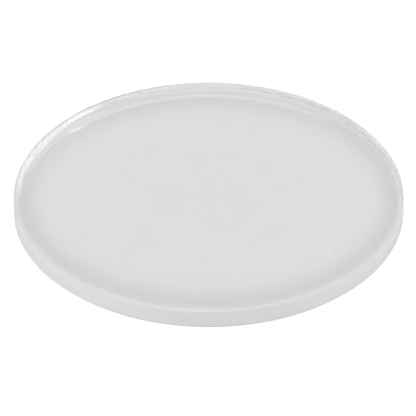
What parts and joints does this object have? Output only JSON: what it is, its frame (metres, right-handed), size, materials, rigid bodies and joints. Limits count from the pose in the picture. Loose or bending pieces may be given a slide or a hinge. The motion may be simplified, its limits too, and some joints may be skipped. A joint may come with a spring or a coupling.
{
  "type": "laser protective window",
  "caption": "Thin round plane-parallel disc of clear fused silica with polished faces, a fine-ground rim and safety bevels; a replaceable shield in front of laser optics.",
  "frame": {"origin": "centre of the lower polished face, on the optical axis; the window lies flat on it", "axes": "+Z along the optical axis, out of the upper face; X and Y are any two directions square to it, because the disc is round"},
  "size_m": [0.036, 0.036, 0.002],
  "materials": {
    "fused_silica": "faces polished and anti-reflection coated, rim and bevels fine-ground"
  },
  "bodies": {
    "root": {"protective_window": "fused_silica"}
  },
  "joints": []
}
